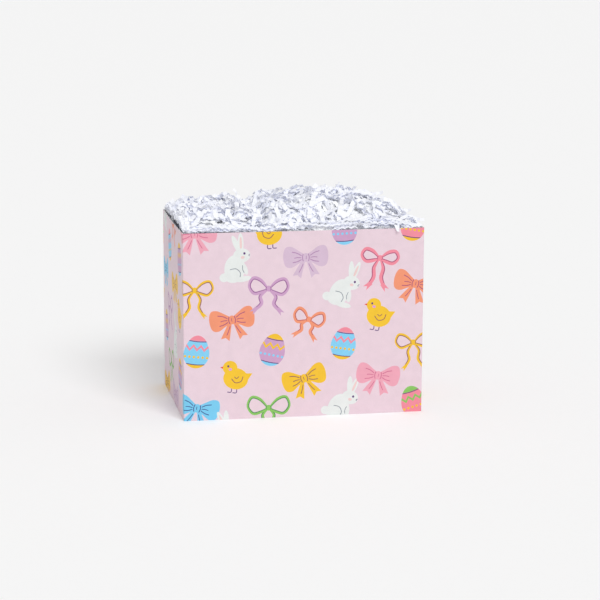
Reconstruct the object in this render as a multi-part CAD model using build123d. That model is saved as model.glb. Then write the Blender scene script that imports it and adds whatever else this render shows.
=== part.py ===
from build123d import *
import os
from math import radians, tan

# Easter basket box: a printed paperboard carton with an open top, heaped with crinkle-cut
# paper. One die-cut blank is folded round at four upright creases and closed by a glued seam,
# and four flaps fold inward as its floor. Each panel between creases is a solid of its own.
# The origin is on the ground at the centre of the box, the front faces -Y and +Z is up.
# Seen from above, the front left and back right corners open as the empty carton folds flat,
# and the front right and back left corners close.

# Driving dimensions, in millimetres and degrees
box_width = 171.5
box_depth = 114.3
box_height = 133.4
board = 0.6
flap_gap = 0.8
flap_corner_radius = 3.0

major_reach_clearance = 0.5
major_open_mitre = 88.0
major_close_mitre = 46.0
major_close_relief = 13.0

minor_nose = 18.8
minor_open_mitre = 45.0
minor_close_mitre = 27.5
minor_close_relief = 19.0

web_near = 20.0
web_inner_margin = 8.0
web_width = 26.0
web_edge_margin = 1.5

tab_width = 15.0
tab_taper = 4.0
tab_top_drop = 2.0
tab_fold_clearance = 1.5

shred_clearance = 0.5
shred_shoulder_drop = 3.0
shred_crown_rise = 19.5

# Sizes that follow from them
inner_x = box_width / 2 - board
inner_y = box_depth / 2 - board
front_crease = 2 * inner_x
side_crease = 2 * inner_y
minor_level = 0.0
major_level = minor_level + board
web_level = major_level + board
major_reach = inner_y - major_reach_clearance
minor_mitre_run = 1 / tan(radians(minor_open_mitre)) + 1 / tan(radians(minor_close_mitre))
minor_reach = (side_crease - flap_gap - minor_nose) / minor_mitre_run
web_far = major_reach - web_inner_margin


def wall(length, height):
    """An upright panel standing on the ground, centred on X, with its inner face on Y = 0."""
    return Pos(0, -board / 2, height / 2) * Box(length, board, height)


def flap_panel(crease, reach, open_mitre, close_mitre, close_relief):
    """A floor flap lying flat: its crease runs along X from the corner that opens, at X = 0,
    to the corner that closes, and the flap reaches inward along Y."""
    close_run = close_relief * tan(radians(close_mitre))
    outline = Polyline(
        (flap_gap, 0),
        (crease - close_relief, 0),
        (crease - close_relief, close_run),
        (crease - reach / tan(radians(close_mitre)), reach),
        (flap_gap + reach / tan(radians(open_mitre)), reach),
        close=True,
    )
    face = make_face(outline)
    free_corners = [corner for corner in face.vertices() if corner.Y > reach - board]
    face = fillet(free_corners, flap_corner_radius)
    return extrude(face, board)


def web_panel(crease):
    """The triangular web glued on a major flap, along the mitre at its closing corner."""
    slope = tan(radians(major_close_mitre))
    near_x = crease - web_near / slope - web_edge_margin
    far_x = crease - web_far / slope - web_edge_margin
    outline = Polyline(
        (near_x, web_near),
        (far_x, web_far),
        (far_x - web_width / 2, web_far),
        (near_x - 2 * web_width, web_near),
        close=True,
    )
    return extrude(make_face(outline), board)


def seam_tab():
    """The tab glued inside the right wall, from the back right corner forward. It stops above
    the floor flap that folds up beside it."""
    foot = board + tab_width + tab_fold_clearance
    head = box_height - tab_top_drop
    outline = Polyline(
        (inner_y, foot),
        (inner_y, head),
        (inner_y - tab_width, head - tab_taper),
        (inner_y - tab_width, foot + tab_taper),
        close=True,
    )
    face = Plane.YZ * make_face(outline)
    return Pos(inner_x - board, 0, 0) * extrude(face, board)


def arched_block(half_width, half_length, base, shoulder, crown):
    """A block with an arched top, seen in XZ, that runs along Y."""
    top = ThreePointArc((-half_width, shoulder), (0, crown), (half_width, shoulder))
    sides = Polyline(
        (half_width, shoulder),
        (half_width, base),
        (-half_width, base),
        (-half_width, shoulder),
    )
    face = Plane.XZ * make_face(top + sides)
    return extrude(face, half_length, both=True)


def shred_heap():
    """The loose paper as one crowned block that clears the floor, the walls and the tab."""
    base = web_level + board + shred_clearance
    shoulder = box_height - shred_shoulder_drop
    crown = box_height + shred_crown_rise
    half_x = inner_x - board - shred_clearance
    half_y = inner_y - shred_clearance
    across = arched_block(half_x, half_y, base, shoulder, crown)
    along = Rot(0, 0, 90) * arched_block(half_y, half_x, base, shoulder, crown)
    return across & along


def front_major_flap():
    flap = flap_panel(
        front_crease, major_reach, major_open_mitre, major_close_mitre, major_close_relief
    )
    return Pos(-inner_x, -inner_y, major_level) * flap


def left_minor_flap():
    flap = flap_panel(
        side_crease, minor_reach, minor_open_mitre, minor_close_mitre, minor_close_relief
    )
    return mirror(Pos(-inner_y, -inner_x, minor_level) * flap, swap_x_and_y)


# Mirroring in this plane swaps X and Y, and half a turn carries front to back and left to right
swap_x_and_y = Plane(origin=(0, 0, 0), z_dir=(1, -1, 0))
half_turn = Rot(0, 0, 180)

front_wall = Pos(0, -inner_y, 0) * wall(front_crease, box_height)
left_wall = Pos(-inner_x, 0, 0) * Rot(0, 0, -90) * wall(side_crease, box_height)
front_web = Pos(-inner_x, -inner_y, web_level) * web_panel(front_crease)

nodes = {
    "front_wall": front_wall,
    "back_wall": half_turn * front_wall,
    "left_wall": left_wall,
    "right_wall": half_turn * left_wall,
    "seam_glue_tab": seam_tab(),
    "front_floor_flap": front_major_flap(),
    "back_floor_flap": half_turn * front_major_flap(),
    "left_floor_flap": left_minor_flap(),
    "right_floor_flap": half_turn * left_minor_flap(),
    "front_floor_web": front_web,
    "back_floor_web": half_turn * front_web,
    "paper_shred": shred_heap(),
}

os.makedirs("parts", exist_ok=True)
for name, solid in nodes.items():
    export_step(solid, f"parts/{name}.step")
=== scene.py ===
import math
import random

import bpy
import numpy as np
from mathutils import Matrix, Vector, noise
from mathutils.geometry import delaunay_2d_cdt


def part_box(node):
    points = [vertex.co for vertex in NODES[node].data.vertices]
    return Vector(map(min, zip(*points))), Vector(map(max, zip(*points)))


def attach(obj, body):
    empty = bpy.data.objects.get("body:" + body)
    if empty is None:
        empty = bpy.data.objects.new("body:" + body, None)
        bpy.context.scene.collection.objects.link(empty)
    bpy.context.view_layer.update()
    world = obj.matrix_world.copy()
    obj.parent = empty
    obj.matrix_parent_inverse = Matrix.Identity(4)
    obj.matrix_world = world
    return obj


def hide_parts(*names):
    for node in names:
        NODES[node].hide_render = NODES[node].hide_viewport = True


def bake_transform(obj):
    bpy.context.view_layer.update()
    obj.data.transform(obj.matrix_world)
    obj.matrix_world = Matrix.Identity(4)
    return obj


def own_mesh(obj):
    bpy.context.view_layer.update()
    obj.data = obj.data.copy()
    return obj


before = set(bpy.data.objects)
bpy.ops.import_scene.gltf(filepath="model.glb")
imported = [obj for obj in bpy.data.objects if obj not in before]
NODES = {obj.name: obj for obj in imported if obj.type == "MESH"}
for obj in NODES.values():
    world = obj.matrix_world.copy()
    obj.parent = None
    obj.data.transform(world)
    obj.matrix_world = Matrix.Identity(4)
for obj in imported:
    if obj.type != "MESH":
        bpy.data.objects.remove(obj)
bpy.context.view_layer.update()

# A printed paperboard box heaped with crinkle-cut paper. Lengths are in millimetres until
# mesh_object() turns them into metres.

MM = 0.001

# ---------------------------------------------------------------- sizes, from the frame
front_low, front_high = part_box("front_wall")
INNER_X = front_high.x / MM
INNER_Y = -front_high.y / MM
BOARD = (front_high.y - front_low.y) / MM
HEIGHT = front_high.z / MM
shred_low, shred_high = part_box("paper_shred")

CREASE = BOARD * math.pi / 2
FRONT_W = 2 * INNER_X
SIDE_W = 2 * INNER_Y
GIRTH = 2 * (FRONT_W + SIDE_W) + 3 * CREASE


# ---------------------------------------------------------------- materials
def srgb(r, g, b):
    """A colour given as 0 to 255 screen values."""
    found = []
    for value in (r, g, b):
        c = value / 255
        found.append(c / 12.92 if c < 0.04045 else ((c + 0.055) / 1.055) ** 2.4)
    return (*found, 1.0)


def scaled(colour, by):
    """A lighter or darker colour, never past full white."""
    return (*(min(1.0, c * by) for c in colour[:3]), 1.0)


def link_noise(nt, where, scale, detail):
    n = nt.nodes.new("ShaderNodeTexNoise")
    n.inputs["Scale"].default_value = scale
    n.inputs["Detail"].default_value = detail
    nt.links.new(where, n.inputs["Vector"])
    return n.outputs["Fac"]


def ramp(nt, value, low, high, to_low, to_high):
    n = nt.nodes.new("ShaderNodeMapRange")
    for name, v in (
        ("From Min", low),
        ("From Max", high),
        ("To Min", to_low),
        ("To Max", to_high),
    ):
        n.inputs[name].default_value = v
    nt.links.new(value, n.inputs["Value"])
    return n.outputs["Result"]


def blended(nt, factor, a, b):
    n = nt.nodes.new("ShaderNodeMix")
    n.data_type = "RGBA"
    nt.links.new(factor, n.inputs["Factor"])
    n.inputs["A"].default_value = a
    n.inputs["B"].default_value = b
    return n.outputs["Result"]


CLOUD_SCALE = 160.0  # uneven ink, about 6 mm across
FIBRE_SCALE = 1900.0  # paper fibres, about half a millimetre
FIBRE_HEIGHT = 0.00012


def paper(name, colour, *, rough=(0.46, 0.62), mottle=0.06, fibre=0.16, specular=0.3):
    """Paper or printed board: fine fibres in the surface, slightly uneven ink and gloss."""
    mat = bpy.data.materials.new(name)
    mat.use_nodes = True
    nt = mat.node_tree
    shader = nt.nodes["Principled BSDF"]
    place = nt.nodes.new("ShaderNodeTexCoord").outputs["Object"]
    cloud = link_noise(nt, place, CLOUD_SCALE, 3.0)
    grain = link_noise(nt, place, FIBRE_SCALE, 4.0)
    uneven = nt.nodes.new("ShaderNodeMath")
    uneven.operation = "ADD"
    nt.links.new(cloud, uneven.inputs[0])
    nt.links.new(grain, uneven.inputs[1])
    share = ramp(nt, uneven.outputs[0], 0.7, 1.3, 0.0, 1.0)
    nt.links.new(
        blended(nt, share, scaled(colour, 1 - mottle), scaled(colour, 1 + mottle / 2)),
        shader.inputs["Base Color"],
    )
    nt.links.new(ramp(nt, grain, 0.3, 0.7, *rough), shader.inputs["Roughness"])
    bump = nt.nodes.new("ShaderNodeBump")
    bump.inputs["Strength"].default_value = fibre
    bump.inputs["Distance"].default_value = FIBRE_HEIGHT
    nt.links.new(grain, bump.inputs["Height"])
    nt.links.new(bump.outputs["Normal"], shader.inputs["Normal"])
    shader.inputs["Specular IOR Level"].default_value = specular
    return mat


# The first ink is the ground that the rest is printed on.
INKS = {
    "pink": (234, 211, 221),
    "sky": (122, 205, 240),
    "navy": (58, 74, 140),
    "gold": (245, 196, 44),
    "umber": (146, 92, 92),
    "chick": (246, 199, 44),
    "red": (226, 40, 38),
    "plum": (98, 62, 122),
    "blush": (226, 162, 214),
    "mauve": (206, 162, 200),
    "violet": (150, 92, 150),
    "bunny": (233, 237, 235),
    "dash": (138, 146, 156),
    "peach": (240, 208, 206),
    "leaf": (138, 200, 98),
    "moss": (74, 140, 84),
    "rose": (243, 142, 160),
    "wine": (176, 86, 124),
    "aqua": (134, 210, 245),
    "teal": (70, 144, 196),
    "coral": (244, 152, 116),
    "rust": (196, 100, 96),
    "lilac": (216, 190, 212),
    "orchid": (178, 134, 178),
    "petal": (240, 168, 186),
    "cerise": (214, 112, 146),
}
INK_NAMES = list(INKS)

# ---------------------------------------------------------------- drawing, in millimetres
def unit(rows):
    """Each row as a direction of length 1."""
    return rows / np.maximum(np.linalg.norm(rows, axis=1), 1e-9)[:, None]


def spline(points, closed=False, steps=5):
    """A smooth line through a few points."""
    p = np.array(points, float)
    n = len(p)
    rows = []
    for i in range(n if closed else n - 1):
        if closed:
            a, b, c, d = p[i - 1], p[i], p[(i + 1) % n], p[(i + 2) % n]
        else:
            a, b, c, d = p[max(i - 1, 0)], p[i], p[i + 1], p[min(i + 2, n - 1)]
        for k in range(steps):
            t = k / steps
            rows.append(
                b
                + (c - a) * t / 2
                + (a - 2.5 * b + 2 * c - d / 2) * t**2
                + (1.5 * b - a / 2 - 1.5 * c + d / 2) * t**3
            )
    if not closed:
        rows.append(p[-1])
    return np.array(rows)


def shape(ink, points, clip=None):
    """A filled shape with a smooth outline."""
    return [(spline(points, closed=True), ink, clip)]


def cut(ink, points, clip=None):
    """A filled shape with straight sides."""
    return [(np.array(points, float), ink, clip)]


def oval(ink, x, y, rx, ry, turn=0.0, clip=None):
    """A filled ellipse."""
    a = np.linspace(0, 2 * math.pi, 25)[:-1]
    c, s = math.cos(math.radians(turn)), math.sin(math.radians(turn))
    px, py = rx * np.cos(a), ry * np.sin(a)
    return [(np.column_stack([x + px * c - py * s, y + px * s + py * c]), ink, clip)]


def line(ink, points, width=0.8, tip=0.35, clip=None, steps=5):
    """A brush line, whose width may change from point to point."""
    rows = np.column_stack([np.array(points, float), np.full(len(points), 1.0) * width])
    rows = spline(rows, steps=steps)
    xy, half = rows[:, :2], np.maximum(rows[:, 2], 0.1) / 2
    along = unit(np.gradient(xy, axis=0))
    left = np.column_stack([-along[:, 1], along[:, 0]])
    reach = half * (1 - tip)
    head = xy[0] - along[0] * reach[0]
    tail = xy[-1] + along[-1] * reach[-1]
    rim = [
        head,
        *(xy + left * half[:, None]),
        tail,
        *(xy - left * half[:, None])[::-1],
    ]
    return [(np.array(rim), ink, clip)]


def band(ink, dark, points, widths, side):
    """A ribbon with the shaded line that runs along one of its edges."""
    rows = line(ink, points, widths, tip=1.0)
    path = spline(np.column_stack([np.array(points, float), widths]))
    xy, half = path[:, :2], path[:, 2] / 2
    along = unit(np.gradient(xy, axis=0))
    left = np.column_stack([-along[:, 1], along[:, 0]])
    edge = xy + left * (side * np.maximum(half - 0.3, 0.0))[:, None]
    width = 0.62 * np.sin(np.linspace(0.25, math.pi - 0.25, len(edge))) ** 0.4
    rows += [(outline(edge, width), dark, None)]
    return rows


def outline(xy, width):
    """Both sides of a line of changing width, as one closed outline."""
    along = unit(np.gradient(xy, axis=0))
    left = np.column_stack([-along[:, 1], along[:, 0]]) * (width / 2)[:, None]
    return np.array([*(xy + left), *(xy - left)[::-1]])


def placed(rows, x=0.0, y=0.0, turn=0.0, size=1.0, flip=False):
    """The same drawing somewhere else."""
    c, s = math.cos(math.radians(turn)) * size, math.sin(math.radians(turn)) * size
    m = np.array([[-c if flip else c, -s], [-s if flip else s, c]])

    def moved(p):
        return p @ m.T + (x, y)

    return [(moved(p), ink, None if clip is None else moved(clip)) for p, ink, clip in rows]


# ---------------------------------------------------------------- the motifs
# Plain stock drawings made for this part, each about 25 mm across and centred on 0, 0. The
# print in the photograph is not copied.
def mirrored(rows):
    """A drawing together with its mirror image."""
    return placed(rows, flip=True) + rows


def notched(ink, at, towards, width):
    """The notched end of a ribbon."""
    rows = cut(ink, [(-0.8, -0.5), (1.3, -0.62), (0.5, 0.0), (1.3, 0.62), (-0.8, 0.5)])
    return placed(rows, *at, turn=towards, size=width)


def ribbon_bow(ink, dark, reach=13.0, lift=6.0, tail=14.0, spread=7.0, wide=2.2):
    """A tied ribbon with two loops and two hanging tails."""
    half = band(
        ink,
        dark,
        [(0.6, -0.8), (spread * 0.62, -tail * 0.36), (spread * 0.5, -tail * 0.7), (spread, -tail)],
        [1.2, wide, wide * 1.1, wide],
        1,
    )
    half += notched(ink, (spread, -tail), -46, wide * 1.1)
    half += band(
        ink,
        dark,
        [
            (0.9, 0.5),
            (reach * 0.42, lift * 0.8),
            (reach * 0.82, lift),
            (reach, lift * 0.2),
            (reach * 0.74, -lift * 0.52),
            (reach * 0.34, -lift * 0.36),
            (0.9, -0.5),
        ],
        [1.2, wide, wide, wide * 0.85, wide, wide, 1.2],
        -1,
    )
    rows = mirrored(half) + oval(ink, 0.0, 0.0, 2.0, 1.9)
    rows += mirrored(line(dark, [(1.3, 1.1), (1.6, 0.0), (1.3, -1.1)], 0.42))
    return rows


def fabric_bow(ink, dark):
    """A full fabric bow: two puffed wings, two pointed tails and a wrapped knot."""
    half = cut(ink, [(0.2, -1.0), (2.6, -1.6), (8.8, -11.4), (5.6, -11.0), (3.4, -13.4)])
    half += line(dark, [(1.8, -4.0), (3.2, -7.0), (4.6, -9.4)], 0.5)
    half += shape(
        ink,
        [
            (0.6, 1.5), (4.4, 4.4), (9.0, 7.2), (13.0, 6.8), (14.6, 1.6),
            (13.4, -4.8), (9.4, -6.2), (4.4, -3.6), (0.6, -1.5),
        ],
    )
    half += line(dark, [(2.9, 1.3), (5.6, 3.0), (8.8, 3.9)], 0.55)
    half += line(dark, [(3.1, 0.0), (5.4, 0.2), (7.4, -0.1)], 0.5)
    half += line(dark, [(2.9, -1.2), (5.4, -2.4), (8.4, -2.9)], 0.55)
    rows = mirrored(half) + oval(ink, 0.0, 0.0, 2.4, 2.9)
    rows += mirrored(line(dark, [(1.7, 2.3), (2.2, 0.0), (1.7, -2.3)], 0.55))
    rows += line(dark, [(-0.3, 1.1), (-0.2, -1.0)], 0.4)
    return rows


def egg(base, stripe, spot, dark):
    """An egg with a zigzag, a row of spots and a plain cap."""
    rim = spline(
        [
            (0.0, 12.0), (5.0, 9.4), (8.3, 2.4), (8.4, -3.6), (5.2, -8.8),
            (0.0, -10.6), (-5.2, -8.8), (-8.4, -3.6), (-8.3, 2.4), (-5.0, 9.4),
        ],
        closed=True,
    )
    rows = [(rim, base, None)]
    caps = ((11.6, 6.0, stripe), (8.2, 0.6, dark), (-10.2, 4.4, spot), (-7.7, 0.6, dark))
    for y, width, ink in caps:
        rows += line(ink, [(-11, y + 0.6), (0, y - 0.5), (11, y + 0.6)], width, clip=rim)
    teeth = [(x, 3.4 + (1.5 if i % 2 else -1.5)) for i, x in enumerate(np.arange(-10.0, 10.1, 2.5))]
    rows += line(stripe, teeth, 1.9, clip=rim, steps=1)
    for x in np.arange(-7.5, 7.6, 3.0):
        rows += oval(spot, x, -2.9, 0.85, 0.85, clip=rim)
    return rows


def chick():
    """A round chick in profile, made of ovals."""
    rows = line("plum", [(-1.4, -7.0), (-1.4, -10.6), (1.0, -10.8)], 0.6)
    rows += line("plum", [(2.2, -7.0), (2.2, -10.4), (4.6, -10.6)], 0.6)
    rows += cut("red", [(8.2, 7.4), (11.4, 6.0), (8.4, 4.8)])
    rows += cut("chick", [(-11.0, 3.6), (-4.0, 3.0), (-7.0, -4.0)])
    rows += oval("chick", 0.0, -1.0, 8.6, 7.4, 8)
    rows += oval("chick", 4.6, 6.2, 5.0, 4.9)
    rows += oval("plum", 6.0, 7.2, 0.7, 0.8)
    rows += oval("blush", 4.4, 5.2, 1.2, 0.9)
    rows += line("umber", [(-4.8, 0.8), (-3.8, -2.6), (0.0, -3.8), (2.8, -1.2)], 0.55)
    rows += line("umber", [(-2.0, 0.6), (-0.6, -0.8), (1.0, 0.2)], 0.5)
    return rows


def rabbit():
    """A rabbit sitting upright in profile, made of ovals."""
    fur, dash = "bunny", "dash"
    rows = oval(fur, -9.4, -8.0, 3.2, 3.0)
    rows += oval(fur, 2.4, 12.6, 1.9, 6.6, 14)
    rows += oval(fur, 5.6, 13.0, 1.9, 6.8, -8)
    rows += oval("peach", 5.6, 12.8, 0.8, 4.4, -8)
    rows += oval(fur, -1.4, -3.4, 7.0, 9.4, -14)
    rows += oval(fur, 4.8, 4.6, 5.8, 4.8, -6)
    rows += oval(fur, -3.0, -7.4, 6.4, 5.4)
    rows += oval(fur, 3.0, -11.4, 5.6, 1.9)
    rows += oval(fur, 5.2, -4.6, 1.8, 4.4, 12)
    rows += line(dash, [(-4.6, -3.4), (-0.6, -3.6), (1.8, -6.6), (1.2, -9.6)], 0.5)
    rows += line(dash, [(4.2, -2.2), (3.8, -5.0), (4.4, -7.2)], 0.45)
    rows += oval("plum", 6.8, 5.6, 0.75, 0.85)
    rows += oval("peach", 5.2, 3.2, 1.3, 1.0)
    rows += line("plum", [(10.3, 4.6), (9.5, 3.9), (9.9, 3.2)], 0.4)
    return rows


# ---------------------------------------------------------------- the printed layout
# The walls unroll into one strip: left, front, right, back. x is 0 at the front's left edge.
COLUMNS = 22
PITCH = 42.0  # up the box, between motifs of one column
FIRST_X, FIRST_Z = 9.0, 8.0
JITTER = 1.6
LEAN = 16  # degrees to either side
BIG, SMALL = 1.1, 1.04
ALIKE_REACH = 24.0  # how far one drawing keeps another of its kind away


def printed():
    """The motifs scattered on a half-drop grid that closes on itself round the box.

    Each place takes the drawing that is furthest from its like, so no two kinds crowd."""
    scatter = random.Random(29)
    motifs = (
        ("fabric", BIG, fabric_bow("gold", "umber")),
        ("fabric", BIG, fabric_bow("sky", "navy")),
        ("fabric", BIG, fabric_bow("coral", "wine")),
        ("fabric", BIG, fabric_bow("lilac", "orchid")),
        ("fabric", BIG, fabric_bow("petal", "cerise")),
        ("ribbon", BIG, ribbon_bow("leaf", "moss", 13.5, 7.0, 13.0, 6.0, 1.9)),
        ("ribbon", BIG, ribbon_bow("rose", "wine", 12.0, 5.0, 18.0, 5.0, 2.4)),
        ("ribbon", BIG, ribbon_bow("mauve", "violet", 12.5, 6.4, 14.0, 8.0, 2.2)),
        ("ribbon", BIG, ribbon_bow("aqua", "teal", 14.0, 6.0, 14.0, 7.0, 1.9)),
        ("ribbon", BIG, ribbon_bow("gold", "umber", 11.5, 5.6, 16.0, 6.0, 1.8)),
        ("ribbon", BIG, ribbon_bow("coral", "rust", 10.0, 5.6, 11.0, 6.0, 2.1)),
        ("chick", SMALL, chick()),
        ("rabbit", SMALL, rabbit()),
        ("egg", SMALL, egg("rose", "leaf", "gold", "plum")),
        ("egg", SMALL, egg("mauve", "gold", "aqua", "plum")),
        ("egg", SMALL, egg("aqua", "rose", "gold", "plum")),
    )
    art, taken = [], []
    for column in range(COLUMNS):
        for row in range(-1, 4):
            x = GIRTH * column / COLUMNS + FIRST_X + scatter.uniform(-JITTER, JITTER)
            z = PITCH * (row + 0.5 * (column % 2)) + FIRST_Z + scatter.uniform(-JITTER, JITTER)
            crowding = []
            for k, (kind, _, _) in enumerate(motifs):
                cost = scatter.uniform(0.0, 0.03)
                for at_x, at_z, other in taken:
                    apart = abs(x - at_x)
                    gap = math.hypot(min(apart, GIRTH - apart), z - at_z)
                    alike = 4.0 if other == k else 1.0 if motifs[other][0] == kind else 0.0
                    cost += alike * math.exp(-gap / ALIKE_REACH)
                crowding.append(cost)
            pick = crowding.index(min(crowding))
            taken.append((x, z, pick))
            _, size, drawing = motifs[pick]
            turn, flip = scatter.uniform(-LEAN, LEAN), scatter.random() < 0.5
            art += placed(drawing, x, z, turn, size, flip)
    return art


def repeated(art):
    """Each drawing again one turn of the box to either side, for those that cross an end."""
    rows = list(art)
    for by in (-GIRTH, GIRTH):
        shift = np.array([by, 0.0])
        rows += [(p + shift, ink, None if c is None else c + shift) for p, ink, c in art]
    return rows


# ---------------------------------------------------------------- cutting a panel's print
def inside(points, rim):
    """Which points a closed outline winds round."""
    x, y = points[:, :1], points[:, 1:]
    ax, ay = rim[:, 0], rim[:, 1]
    bx, by = np.roll(ax, -1), np.roll(ay, -1)
    turn = (bx - ax) * (y - ay) - (x - ax) * (by - ay)
    up = ((ay <= y) & (by > y) & (turn > 0)).sum(1)
    down = ((ay > y) & (by <= y) & (turn < 0)).sum(1)
    return up != down


MERGE = 1e-3  # points nearer than this are one
ON_EDGE = 2e-3  # points nearer than this to a panel's edge are on it
LEAST_AREA = 1e-9


def triangulated(loops, loose, chains=()):
    """Triangles between closed loops, open chains and loose points, counter-clockwise."""
    verts, edges = [], []
    for loop in loops:
        first = len(verts)
        verts += [Vector(p) for p in loop]
        many = len(loop)
        edges += [(first + i, first + (i + 1) % many) for i in range(many)]
    for chain in chains:
        first = len(verts)
        verts += [Vector(p) for p in chain]
        edges += [(first + i, first + i + 1) for i in range(len(chain) - 1)]
    verts += [Vector(p) for p in loose]
    found = delaunay_2d_cdt(verts, edges, [], 0, MERGE, False)
    points = np.array([tuple(v) for v in found[0]], float)
    faces = np.array([tuple(f) for f in found[2] if len(f) == 3], int)
    a, b, c = points[faces[:, 0]], points[faces[:, 1]], points[faces[:, 2]]
    area = (b[:, 0] - a[:, 0]) * (c[:, 1] - a[:, 1]) - (c[:, 0] - a[:, 0]) * (b[:, 1] - a[:, 1])
    faces = np.where(area[:, None] < 0, faces[:, ::-1], faces)
    return points, faces[np.abs(area) > LEAST_AREA]


def rectangle(u0, u1, step):
    """The outline of a panel, counter-clockwise, with points at most a step apart."""
    corners = [(u0, 0.0), (u1, 0.0), (u1, HEIGHT), (u0, HEIGHT)]
    rim = []
    for i in range(4):
        a, b = np.array(corners[i]), np.array(corners[(i + 1) % 4])
        many = max(1, math.ceil(np.linalg.norm(b - a) / step))
        rim += [a + (b - a) * k / many for k in range(many)]
    return rim


def grid(u0, u1, step):
    """Points inside a panel, so that its face can bow."""
    across = max(2, math.ceil((u1 - u0) / step))
    up = math.ceil(HEIGHT / step)
    return [
        (u0 + (u1 - u0) * i / across, HEIGHT * j / up)
        for i in range(1, across)
        for j in range(1, up)
    ]


def print_of(u0, u1, art, step, folds=0):
    """One panel's print: its points, its triangles and the ink of each."""
    near = [
        row
        for row in art
        if (row[0].min(0) < (u1, HEIGHT)).all() and (row[0].max(0) > (u0, 0)).all()
    ]
    loops = [rectangle(u0, u1, step)] + [row[0] for row in near]
    lines = [
        [(u0 + (u1 - u0) * i / folds, 0.0), (u0 + (u1 - u0) * i / folds, HEIGHT)]
        for i in range(1, folds)
    ]
    points, faces = triangulated(loops, [] if folds else grid(u0, u1, step), lines)
    middle = points[faces].mean(axis=1)
    kept = (middle[:, 0] > u0) & (middle[:, 0] < u1) & (middle[:, 1] > 0) & (middle[:, 1] < HEIGHT)
    faces, middle = faces[kept], middle[kept]
    ink = np.zeros(len(faces), int)
    for rim, name, clip in near:
        low, high = rim.min(0), rim.max(0)
        there = np.nonzero(((middle >= low) & (middle <= high)).all(1))[0]
        there = there[inside(middle[there], rim)]
        if clip is not None:
            there = there[inside(middle[there], clip)]
        ink[there] = INK_NAMES.index(name)
    used, faces = np.unique(faces, return_inverse=True)
    return points[used], faces.reshape(-1, 3), ink


def rim_of(points, u0, u1):
    """The points along the panel's outline, in order, counter-clockwise."""
    sides = (
        (np.abs(points[:, 1]) < ON_EDGE, points[:, 0]),
        (np.abs(points[:, 0] - u1) < ON_EDGE, points[:, 1]),
        (np.abs(points[:, 1] - HEIGHT) < ON_EDGE, -points[:, 0]),
        (np.abs(points[:, 0] - u0) < ON_EDGE, -points[:, 1]),
    )
    chain = []
    for on, along in sides:
        some = np.nonzero(on)[0]
        some = some[np.argsort(along[some])]
        chain += [int(i) for i in some if not chain or i != chain[-1]]
    if chain[0] == chain[-1]:
        chain.pop()
    return chain


def mesh_object(name, verts, faces, materials, slots=None, smooth=None):
    """An object from points in millimetres; smooth is one answer for all or one a face."""
    mesh = bpy.data.meshes.new(name)
    corners = [list(map(int, f)) for f in faces]
    mesh.from_pydata((np.array(verts, float) * MM).tolist(), [], corners)
    for mat in materials:
        mesh.materials.append(mat)
    if slots is not None:
        mesh.polygons.foreach_set("material_index", np.array(slots, np.int32))
    if smooth is not None:
        shading = np.full(len(faces), smooth, bool)
        mesh.polygons.foreach_set("use_smooth", shading)
    mesh.update()
    made = bpy.data.objects.new(name, mesh)
    bpy.context.scene.collection.objects.link(made)
    return made


# ---------------------------------------------------------------- the walls
LIGHT = 0.91  # ink under this scene's light, so that it renders at its screen values
ink_materials = [
    paper(
        "ink_" + name,
        scaled(srgb(*colour), LIGHT),
        mottle=0.05,
        rough=(0.42, 0.55),
        specular=0.35,
    )
    for name, colour in INKS.items()
]
board_inside = paper("board_inside", srgb(240, 238, 236), rough=(0.6, 0.78), mottle=0.05, fibre=0.3)
board_edge = paper("board_edge", srgb(226, 222, 222), rough=(0.7, 0.85), mottle=0.12, fibre=0.6)
SKIN = ink_materials + [board_inside, board_edge]
INSIDE, EDGE = len(ink_materials), len(ink_materials) + 1
BOW = 0.9  # how far the full box pushes a wall out, at the middle of the rim
PRINT_STEP = 7.0  # between the points that let a wall bow
CREASE_FOLDS = 6  # flat strips that a rounded corner is made of


def wall(name, node, body, u0, width, start, along, out, art):
    """A printed wall: the print outside, white board inside, and the cut edge between them."""
    u1 = u0 + width
    start, along, out = (np.array(v, float) for v in (start, along, out))

    def at(points, depth):
        share = (points[:, 0] - u0) / width
        lift = points[:, 1] / HEIGHT
        swell = BOW * np.sin(math.pi * np.clip(share, 0, 1)) * (1 - (1 - lift) ** 2)
        rows = start + (points[:, :1] - u0) * along + (swell - depth)[:, None] * out
        rows[:, 2] = points[:, 1]
        return rows

    points, faces, ink = print_of(u0, u1, art, PRINT_STEP)
    chain = rim_of(points, u0, u1)
    loop = points[chain]
    back_points, back_faces = triangulated([loop], grid(u0, u1, PRINT_STEP))
    match = [int(np.argmin(np.abs(back_points - p).sum(1))) for p in loop]
    verts = np.vstack([at(points, 0.0), at(back_points, BOARD)])
    shift = len(points)
    rows = [tuple(f) for f in faces] + [tuple(shift + i for i in f[::-1]) for f in back_faces]
    slots = list(ink) + [INSIDE] * len(back_faces)
    smooth = [True] * len(rows)
    many = len(chain)
    for i in range(many):
        j = (i + 1) % many
        rows.append((chain[j], chain[i], shift + match[i], shift + match[j]))
        slots.append(EDGE)
        smooth.append(False)
    made = mesh_object(name, verts, rows, SKIN, slots, smooth)
    flat = {i for i in range(len(rows)) if not smooth[i]}
    sharp = np.zeros(len(made.data.edges), bool)
    owners = {}
    for poly in made.data.polygons:
        for key in poly.edge_keys:
            owners.setdefault(key, []).append(poly.index)
    for edge in made.data.edges:
        mine = owners[tuple(sorted(edge.vertices))]
        sharp[edge.index] = any(i in flat for i in mine)
    made.data.attributes.new("sharp_edge", "BOOLEAN", "EDGE").data.foreach_set("value", sharp)
    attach(made, body)
    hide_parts(node)


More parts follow.
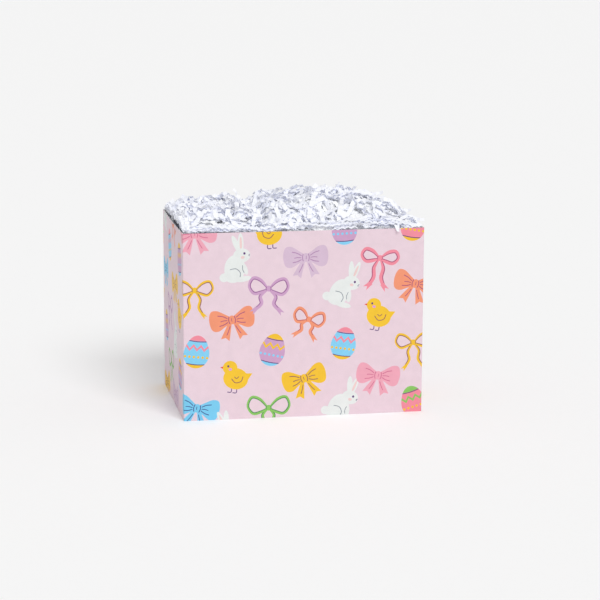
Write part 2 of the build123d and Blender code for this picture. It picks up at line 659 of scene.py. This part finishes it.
def crease(name, u0, pivot, first, second, art):
    """The rounded corner between two walls.

    The arc turns from the direction first to the direction second as x grows."""
    u1 = u0 + CREASE
    pivot, first, second = (np.array(v, float) for v in (pivot, first, second))
    points, faces, ink = print_of(u0, u1, art, PRINT_STEP, CREASE_FOLDS)
    angle = (points[:, 0] - u0) / CREASE * math.pi / 2
    arc = pivot + BOARD * (np.cos(angle)[:, None] * first + np.sin(angle)[:, None] * second)
    verts = np.column_stack([arc, points[:, 1]])
    low, high = len(verts), len(verts) + 1
    verts = np.vstack([verts, [(*pivot, 0.0), (*pivot, HEIGHT)]])
    chain = rim_of(points, u0, u1)
    corner = [i for i, k in enumerate(chain) if np.abs(points[k] - (u0, 0)).max() < ON_EDGE][0]
    chain = chain[corner:] + chain[:corner]
    side = {"low": [], "right": [], "high": [], "left": []}
    for k in [*chain, chain[0]]:
        u, v = points[k]
        if abs(v) < ON_EDGE and k != chain[0] or (k == chain[0] and not side["low"]):
            side["low"].append(k)
        if abs(u - u1) < ON_EDGE:
            side["right"].append(k)
        if abs(v - HEIGHT) < ON_EDGE:
            side["high"].append(k)
        if abs(u - u0) < ON_EDGE and side["high"]:
            side["left"].append(k)
    rows = [tuple(f) for f in faces]
    rows += [
        (*side["low"][::-1], low),
        (*side["right"][::-1], low, high),
        (*side["high"][::-1], high),
        (*side["left"][::-1], high, low),
    ]
    slots = list(ink) + [EDGE] * 4
    smooth = [True] * len(faces) + [False] * 4
    made = mesh_object(name, verts, rows, SKIN, slots, smooth)
    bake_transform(made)


ART = repeated(printed())
RIGHT_U = FRONT_W + CREASE
BACK_U = RIGHT_U + SIDE_W
LEFT_U = -CREASE - SIDE_W
BACK_LEFT_U = LEFT_U - CREASE
OUTER_X, OUTER_Y = INNER_X + BOARD, INNER_Y + BOARD
for body, u0, width, start, along, out in (
    ("front", 0.0, FRONT_W, (-INNER_X, -OUTER_Y, 0), (1, 0, 0), (0, -1, 0)),
    ("right", RIGHT_U, SIDE_W, (OUTER_X, -INNER_Y, 0), (0, 1, 0), (1, 0, 0)),
    ("back", BACK_U, FRONT_W, (INNER_X, OUTER_Y, 0), (-1, 0, 0), (0, 1, 0)),
    ("left", LEFT_U, SIDE_W, (-OUTER_X, INNER_Y, 0), (0, -1, 0), (-1, 0, 0)),
):
    wall(body + "_print", body + "_wall", body, u0, width, start, along, out, ART)
for corner, u0, pivot, first, second, bodies, backwards in (
    ("front_left", -CREASE, (-INNER_X, -INNER_Y), (-1, 0), (0, -1), ("front", "left"), True),
    ("front_right", FRONT_W, (INNER_X, -INNER_Y), (0, -1), (1, 0), ("front", "right"), False),
    ("back_left", BACK_LEFT_U, (-INNER_X, INNER_Y), (0, 1), (-1, 0), ("left", "back"), True),
):
    crease(corner + "_crease", u0, pivot, first, second, ART)

for name in (
    "seam_glue_tab",
    "front_floor_flap",
    "back_floor_flap",
    "left_floor_flap",
    "right_floor_flap",
    "front_floor_web",
    "back_floor_web",
):
    for holder in NODES[name].material_slots:
        holder.material = board_inside

# ---------------------------------------------------------------- the crinkled paper
# The crest of the heap from left to right: x and height.
CREST = (
    (-84, 138.0), (-80, 143.0), (-72, 143.5), (-58, 143.5), (-47, 144.0), (-39, 144.5),
    (-33, 141.0), (-26, 139.5), (-21, 147.0), (-12, 150.0), (0, 148.5), (10, 150.5),
    (20, 150.5), (30, 151.5), (41, 149.0), (50, 148.5), (60, 146.0), (70, 141.5),
    (78, 136.5), (84, 133.5),
)
LIMIT_X = shred_high.x / MM
LIMIT_Y = shred_high.y / MM
FLOOR_Z = shred_low.z / MM
FOLD = 2.7  # from one crimp of a strip to the next
PULL = 0.86  # the share of that which the strip still covers once crimped
CRIMP = 0.6
PAPER = 0.11
HEAP_WIDTHS, WALL_WIDTHS, RIM_WIDTHS = (2.8, 3.5), (2.7, 3.5), (2.7, 3.4)
OVERHANG = 1.7  # how far a strip above the rim may reach past the fill below it
ABOVE_RIM = 0.3
LUMPS = ((0.055, 0.07, 3.1, 3.4), (0.14, 0.15, 9.4, 1.6))  # noise per mm in x and y, z, height


def heap(x, y):
    """The height of the heap over a point of the box, with lumps of two sizes."""
    crown = float(np.interp(x, *zip(*CREST))) - HEIGHT
    fall = 1 - min(1.0, abs(y) / (LIMIT_Y + 1.5)) ** 2.6
    lump = sum(noise.noise((x * px, y * py, z)) * high for px, py, z, high in LUMPS)
    return HEIGHT + ABOVE_RIM + crown * fall + lump * (0.15 + 0.85 * fall)


class Strips:
    """Collects crimped paper strips into one mesh."""

    def __init__(self):
        self.verts, self.faces, self.slots = [], [], []

    def add(self, path, normals, width, crimp, tone, box=True):
        """One strip along a path, its flat side facing the normals and, with box, kept inside."""
        path, normals = np.array(path, float), np.array(normals, float)
        along = unit(np.gradient(path, axis=0))
        side = unit(np.cross(along, normals))
        up = np.cross(side, along)
        zig = np.where(np.arange(len(path)) % 2, crimp, -crimp)[:, None]
        middle = path + up * zig
        first = len(self.verts)
        for k in range(len(path)):
            for lift, reach in ((0.5, -0.5), (0.5, 0.5), (-0.5, 0.5), (-0.5, -0.5)):
                p = middle[k] + side[k] * reach * width + up[k] * lift * PAPER
                if box:
                    over = OVERHANG if p[2] > HEIGHT + ABOVE_RIM else 0.0
                    x, y = LIMIT_X + over, LIMIT_Y + over
                    p = np.clip(p, (-x, -y, FLOOR_Z), (x, y, math.inf))
                self.verts.append(p)
        for k in range(len(path) - 1):
            a, b = first + 4 * k, first + 4 * k + 4
            for i in range(4):
                j = (i + 1) % 4
                self.faces.append((a + i, a + j, b + j, b + i))
        last = first + 4 * (len(path) - 1)
        self.faces.append((first + 3, first + 2, first + 1, first))
        self.faces.append((last, last + 1, last + 2, last + 3))
        self.slots += [tone] * (4 * (len(path) - 1) + 2)

    def build(self, name):
        return mesh_object(name, self.verts, self.faces, SHRED, self.slots, False)


def turned(v, axis, angle):
    """v turned about an axis by an angle."""
    axis = axis / max(np.linalg.norm(axis), 1e-9)
    c, s = math.cos(angle), math.sin(angle)
    return v * c + np.cross(axis, v) * s + axis * (v @ axis) * (1 - c)


# The third tone, lighter than the strips' own paper, is painted light: it lifts the deep strips and
# the core's top, standing in for light that passes through the thin paper into the gaps.
SHRED = [
    paper("shred_white", (0.925, 0.935, 0.985, 1.0), rough=(0.5, 0.7), mottle=0.02, fibre=0.2),
    paper("shred_cool", (0.905, 0.918, 0.978, 1.0), rough=(0.5, 0.7), mottle=0.03, fibre=0.2),
    paper("shred_painted_light", (0.975, 0.98, 1.0, 1.0), rough=(0.6, 0.8), mottle=0.04, fibre=0.2),
]
TONES = (0, 0, 0, 1, 1)
# The deepest strips take the painted-light tone.
DEEP_PAINTED_LIGHT = (2,)
rng = random.Random(41)


def onward(x, y, heading, look, margin):
    """A strip's next point and its heading there: it turns back where it sees a wall ahead."""
    ahead_x, ahead_y = x + math.cos(heading) * look, y + math.sin(heading) * look
    if abs(ahead_x) > LIMIT_X - margin:
        heading = math.pi - heading
    if abs(ahead_y) > LIMIT_Y - margin:
        heading = -heading
    return x + math.cos(heading) * FOLD * PULL, y + math.sin(heading) * FOLD * PULL, heading


def laid(strips, path, normals, widths, crimps, tones=TONES):
    """A strip whose width, crimp and tone are drawn at random."""
    width, crimp = rng.uniform(*widths), CRIMP * rng.uniform(*crimps)
    strips.add(path, normals, width, crimp, rng.choice(tones))


def heap_strips(strips, count, depths, rises, rolls, lengths, tones):
    """Strips that lie over one another on the heap, the later ones higher."""
    for i in range(count):
        x = rng.uniform(-LIMIT_X + 1, LIMIT_X - 1)
        y = rng.uniform(-LIMIT_Y + 1, LIMIT_Y - 1)
        heading = rng.uniform(0, 2 * math.pi)
        length = rng.uniform(*lengths)
        bend, sway = rng.gauss(0, 0.024), rng.uniform(0.0, 0.05)
        wave, start = rng.uniform(16, 40), rng.uniform(0, 2 * math.pi)
        depth = depths[0] + (depths[1] - depths[0]) * i / count + rng.uniform(-0.5, 0.5)
        rise, roll, twist = rng.uniform(*rises), rng.gauss(0, rolls), rng.gauss(0, 0.008)
        path, normals = [], []
        for k in range(int(length / FOLD)):
            s = k * FOLD
            z = heap(x, y) - depth + rise * math.sin(2 * math.pi * s / wave + start)
            slope_x = (heap(x + 1, y) - heap(x - 1, y)) / 2
            slope_y = (heap(x, y + 1) - heap(x, y - 1)) / 2
            n = np.array([-slope_x, -slope_y, 1.0])
            path.append((x, y, z))
            facing = np.array([math.cos(heading), math.sin(heading), 0.0])
            normals.append(turned(n / np.linalg.norm(n), facing, roll + twist * s))
            heading += (bend + sway * math.sin(s / 9.0 + start)) * FOLD
            x, y, heading = onward(x, y, heading, FOLD * PULL, 0.5)
        laid(strips, path, normals, HEAP_WIDTHS, (0.8, 1.15), tones)


CORNER = 4.0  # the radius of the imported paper's corners


def belt(s, inset):
    """A point and outward direction on the rounded rectangle round the paper, s along it."""
    ax, ay = LIMIT_X - CORNER, LIMIT_Y - CORNER
    arc = CORNER * math.pi / 2
    runs = (
        (2 * ax, (-ax, -ay), (1, 0), (0, -1)),
        (2 * ay, (ax, -ay), (0, 1), (1, 0)),
        (2 * ax, (ax, ay), (-1, 0), (0, 1)),
        (2 * ay, (-ax, ay), (0, -1), (-1, 0)),
    )
    s %= 4 * (ax + ay) + 4 * arc
    for length, (cx, cy), (dx, dy), (ox, oy) in runs:
        if s < length:
            r = CORNER - inset
            return (cx + dx * s + ox * r, cy + dy * s + oy * r), (ox, oy)
        s -= length
        if s < arc:
            a = s / CORNER
            nx, ny = ox * math.cos(a) + dx * math.sin(a), oy * math.cos(a) + dy * math.sin(a)
            ex, ey = cx + dx * length, cy + dy * length
            return (ex + nx * (CORNER - inset), ey + ny * (CORNER - inset)), (nx, ny)
        s -= arc
    return (-ax, -ay - CORNER + inset), (0, -1)


BELT = 4 * (LIMIT_X + LIMIT_Y - 2 * CORNER) + 2 * math.pi * CORNER


def side_strips(count):
    """Strips pressed against the walls."""
    strips = Strips()
    for _ in range(count):
        s, z = rng.uniform(0, BELT), rng.uniform(FLOOR_Z + 2, HEIGHT + 1)
        heading, length = rng.uniform(0, 2 * math.pi), rng.uniform(30, 64)
        bend, sway, start = rng.gauss(0, 0.02), rng.uniform(0, 0.05), rng.uniform(0, 6.28)
        inset, roll = rng.uniform(0.9, 3.4), rng.gauss(0, 0.3)
        path, normals = [], []
        for k in range(int(length / FOLD)):
            (x, y), (nx, ny) = belt(s, inset)
            tangent = np.array([-ny * math.cos(heading), nx * math.cos(heading), math.sin(heading)])
            path.append((x, y, z))
            normals.append(turned(np.array([nx, ny, 0.0]), tangent, roll))
            heading += (bend + sway * math.sin(k * FOLD / 9.0 + start)) * FOLD
            if not FLOOR_Z + 2 < z + math.sin(heading) * 2 < HEIGHT + 2:
                heading = -heading
            s += math.cos(heading) * FOLD * PULL
            z += math.sin(heading) * FOLD * PULL
        laid(strips, path, normals, WALL_WIDTHS, (0.75, 1.1))
    return strips


def base_strips(strips, count):
    """Strips that lie on the floor of the box."""
    for _ in range(count):
        x = rng.uniform(-LIMIT_X + 2, LIMIT_X - 2)
        y = rng.uniform(-LIMIT_Y + 2, LIMIT_Y - 2)
        heading, bend = rng.uniform(0, 2 * math.pi), rng.gauss(0, 0.02)
        z = FLOOR_Z + rng.uniform(0.8, 3.0)
        path = []
        for _ in range(int(rng.uniform(26, 60) / FOLD)):
            path.append((x, y, z))
            heading += bend * FOLD
            x, y, heading = onward(x, y, heading, 3.0, 0.0)
        down = [(0, 0, -1)] * len(path)
        strips.add(path, down, rng.uniform(*WALL_WIDTHS), CRIMP, rng.choice(TONES))


def rim_strips(strips, count, span, insets, lifts):
    """Strips that follow the walls just inside the rim."""
    for _ in range(count):
        s, inset, drift = rng.uniform(*span), rng.uniform(*insets), rng.gauss(0, 0.08)
        lift, lean, start = rng.uniform(*lifts), rng.gauss(0.25, 0.45), rng.uniform(0, 6.28)
        path, normals = [], []
        for k in range(int(rng.uniform(24, 56) / FOLD)):
            (x, y), (nx, ny) = belt(s, max(insets[0], inset + drift * k * FOLD))
            path.append((x, y, heap(x, y) + lift + 0.8 * math.sin(k * FOLD / 6.0 + start)))
            normals.append((nx * lean, ny * lean, 1.0))
            s += FOLD * PULL
        laid(strips, path, normals, RIM_WIDTHS, (0.8, 1.15))


def loose_strip(strips, points, width, crimp, facing, tone):
    """One strip along given points, for the ends that stand out of the heap."""
    rows = spline(points, steps=12)
    gaps = np.linalg.norm(np.diff(rows, axis=0), axis=1)
    s = np.concatenate([[0], np.cumsum(gaps)])
    many = max(3, int(s[-1] / (FOLD * PULL)))
    at = np.linspace(0, s[-1], many)
    path = np.column_stack([np.interp(at, s, rows[:, i]) for i in range(3)])
    strips.add(path, [facing] * many, width, crimp, tone, box=False)


CORE_DEPTH = 3.8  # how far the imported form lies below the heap's surface
CORE_INSET = 3.2  # and behind the walls
CORE_AROUND = 120
SIDE_RINGS, TOP_RINGS = 24, 22


def core():
    """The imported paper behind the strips: one closed, lumpy form."""
    base = FLOOR_Z + 3.5
    rings = [("side", float(z)) for z in np.linspace(base, HEIGHT - 6, SIDE_RINGS)]
    rings += [("top", float(share)) for share in np.linspace(0.97, 0.04, TOP_RINGS)]
    verts, faces = [], []
    for kind, value in rings:
        for i in range(CORE_AROUND):
            (x, y), (nx, ny) = belt(BELT * i / CORE_AROUND, CORE_INSET)
            if kind == "side":
                bump = noise.noise((x * 0.11, y * 0.11, value * 0.11)) * 1.8
                bump += noise.noise((x * 0.3, y * 0.3, value * 0.3)) * 0.9 - 1.2
                verts.append((x + nx * bump, y + ny * bump, value))
            else:
                x, y = x * value, y * value
                lump = 1.6 * noise.noise((x * 0.16, y * 0.16, 0.7))
                verts.append((x, y, heap(x, y) - CORE_DEPTH + lump))
    for r in range(len(rings) - 1):
        lower, upper = r * CORE_AROUND, (r + 1) * CORE_AROUND
        for i in range(CORE_AROUND):
            j = (i + 1) % CORE_AROUND
            faces.append((lower + i, lower + j, upper + j, upper + i))
    verts += [(0, 0, base), (0, 0, heap(0, 0) - CORE_DEPTH)]
    top = (len(rings) - 1) * CORE_AROUND
    for i in range(CORE_AROUND):
        j = (i + 1) % CORE_AROUND
        faces.append((j, i, len(verts) - 2))
        faces.append((top + i, top + j, len(verts) - 1))
    # The top of the core takes the lighter tone, painted light under the strips; its sides take the
    # cool paper.
    tops = [1 if f[0] // CORE_AROUND >= SIDE_RINGS else 0 for f in faces]
    return mesh_object("shred_core", verts, faces, [SHRED[1], SHRED[2]], tops, True)


heap_piece = Strips()
for count, depths, rises, rolls, lengths, tones in (
    # Deepest layer: lighter paper as painted light in the gaps beneath the top strips.
    (430, (6.0, 1.0), (0.1, 0.8), 0.2, (30, 60), DEEP_PAINTED_LIGHT),
    (150, (1.2, -0.6), (0.3, 1.2), 0.3, (34, 70), TONES),
    (110, (-0.4, -2.6), (0.8, 2.8), 0.45, (34, 76), TONES),
):
    heap_strips(heap_piece, count, depths, rises, rolls, lengths, tones)
rim_strips(heap_piece, 130, span=(0.0, BELT), insets=(-0.2, 4.2), lifts=(-1.6, 1.9))
LEFT_SPAN = (BELT - 2 * LIMIT_Y, BELT)  # along the left wall
rim_strips(heap_piece, 34, span=LEFT_SPAN, insets=(-0.8, 2.0), lifts=(0.4, 2.6))
# Strips that stand out of the heap: width, crimp, the way the flat side faces, tone, points.
for width, crimp, facing, tone, points in (
    (2.8, 0.5, (0.3, -1, 0.1), 1, [
        (-85.5, 4, 138), (-84, 2, 143), (-81, 0, 147.5), (-77.5, -2, 152.0),
    ]),
    (2.2, 0.3, (0.4, -0.8, 0.5), 1, [(-56, -16, 143), (-61, -18, 149), (-65, -19, 152.5)]),
    (2.5, 0.45, (0.8, -0.6, 0.3), 0, [
        (-33, -26, 143), (-37, -28, 148), (-41.5, -29, 153), (-44, -30, 156.5), (-46, -30, 160),
    ]),
    (2.3, 0.4, (0.9, 0.2, 0.5), 1, [
        (-36, -27, 144), (-41, -28, 149), (-46, -27, 153), (-50, -27, 156),
    ]),
    (1.5, 0.3, (0.8, -0.6, 0.0), 1, [(33, -10, 150), (33.4, -10, 156), (33.6, -10, 160.5)]),
    (2.8, 0.35, (0.1, -0.6, 0.8), 1, [
        (38, -8, 152), (48, -9, 153), (58, -10, 151.0), (66, -12, 152.5),
    ]),
    (2.3, 0.45, (0.35, -0.5, 0.8), 0, [
        (56, -36, 140), (61, -46, 138.6), (63.5, -55, 136.4), (65.4, -58.4, 134.4),
        (66.4, -58.8, 131.2),
    ]),
    (1.8, 0.35, (-0.5, -0.5, 0.8), 1, [
        (72, -38, 136.5), (68.6, -50, 137.2), (66.8, -57.4, 135.0), (65.8, -58.8, 131.6),
    ]),
    (2.8, 0.5, (0, -0.5, 0.8), 1, [
        (68, 6, 138), (77, 2, 138.5), (84, -2, 137.5), (89, -4, 137.6),
    ]),
    (2.6, 0.45, (0, -0.7, 0.6), 1, [
        (76, -30, 135), (83, -36, 137.0), (87.4, -40, 135.8), (89.4, -41, 136.6),
    ]),
):
    loose_strip(heap_piece, points, width, crimp, facing, tone)
side_piece = side_strips(700)
base_strips(side_piece, 150)

for piece in (heap_piece.build("shred_heap"), side_piece.build("shred_packed"), core()):
    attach(piece, "shred")
    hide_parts("paper_shred")
    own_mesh(piece)

# ---------------------------------------------------------------- floor, light and camera
FLOOR_RADIUS = 9000.0
FLOOR_DROP = -0.05
FLOOR_SIDES = 64
AMBIENT = 0.59
KEY, KEY_SOFTNESS = 1.56, 32  # strength, and the sun's width in degrees
KEY_SHINES = (-0.16, 0.7, -0.7)  # the way the sunlight goes
BACKDROP = 248
AZIMUTH, ELEVATION, ROLL = 10.61, 11.36, 0.25  # degrees, from straight in front
TARGET = (0.0075, 0.0, 0.0725)  # metres
DISTANCE = 1.475  # metres
FOCAL_LENGTH = 121.08

floor_paper = paper(
    "floor_sweep",
    srgb(254, 254, 254),
    rough=(0.7, 0.8),
    mottle=0.004,
    fibre=0.02,
    specular=0.1,
)
turns = np.linspace(0, 2 * math.pi, FLOOR_SIDES + 1)[:-1]
floor = mesh_object(
    "floor",
    [(FLOOR_RADIUS * math.cos(a), FLOOR_RADIUS * math.sin(a), FLOOR_DROP) for a in turns],
    [range(FLOOR_SIDES)],
    [floor_paper],
)

world = bpy.data.worlds.new("studio")
world.use_nodes = True
bpy.context.scene.world = world
nt = world.node_tree
sky = nt.nodes["Background"]
sky.inputs["Color"].default_value = (1.0, 1.0, 1.0, 1.0)
sky.inputs["Strength"].default_value = AMBIENT
seen = nt.nodes.new("ShaderNodeBackground")
seen.inputs["Color"].default_value = srgb(BACKDROP, BACKDROP, BACKDROP)
pick = nt.nodes.new("ShaderNodeMixShader")
nt.links.new(nt.nodes.new("ShaderNodeLightPath").outputs["Is Camera Ray"], pick.inputs["Fac"])
nt.links.new(sky.outputs["Background"], pick.inputs[1])
nt.links.new(seen.outputs["Background"], pick.inputs[2])
nt.links.new(pick.outputs["Shader"], nt.nodes["World Output"].inputs["Surface"])

lamp = bpy.data.lights.new("key", "SUN")
lamp.energy = KEY
lamp.angle = math.radians(KEY_SOFTNESS)
key = bpy.data.objects.new("key", lamp)
key.rotation_euler = Vector(KEY_SHINES).to_track_quat("-Z", "Y").to_euler()
bpy.context.scene.collection.objects.link(key)

azimuth, elevation, roll = (math.radians(a) for a in (AZIMUTH, ELEVATION, ROLL))
level = math.cos(elevation)
ahead = Vector((math.sin(azimuth) * level, math.cos(azimuth) * level, -math.sin(elevation)))
right = ahead.cross(Vector((0, 0, 1))).normalized()
up = right.cross(ahead)
across, along = math.cos(roll), math.sin(roll)
right, up = right * across + up * along, up * across - right * along
lens = bpy.data.cameras.new("camera")
lens.lens = FOCAL_LENGTH
lens.sensor_width = 36.0
lens.clip_end = 20.0
camera = bpy.data.objects.new("camera", lens)
camera.matrix_world = Matrix((right, up, -ahead)).transposed().to_4x4()
camera.location = Vector(TARGET) - ahead * DISTANCE
bpy.context.scene.collection.objects.link(camera)
bpy.context.scene.camera = camera
bpy.context.scene.view_settings.view_transform = "Standard"
bpy.context.scene.view_settings.look = "None"
bpy.context.scene.cycles.max_bounces = 14
bpy.context.scene.cycles.diffuse_bounces = 12
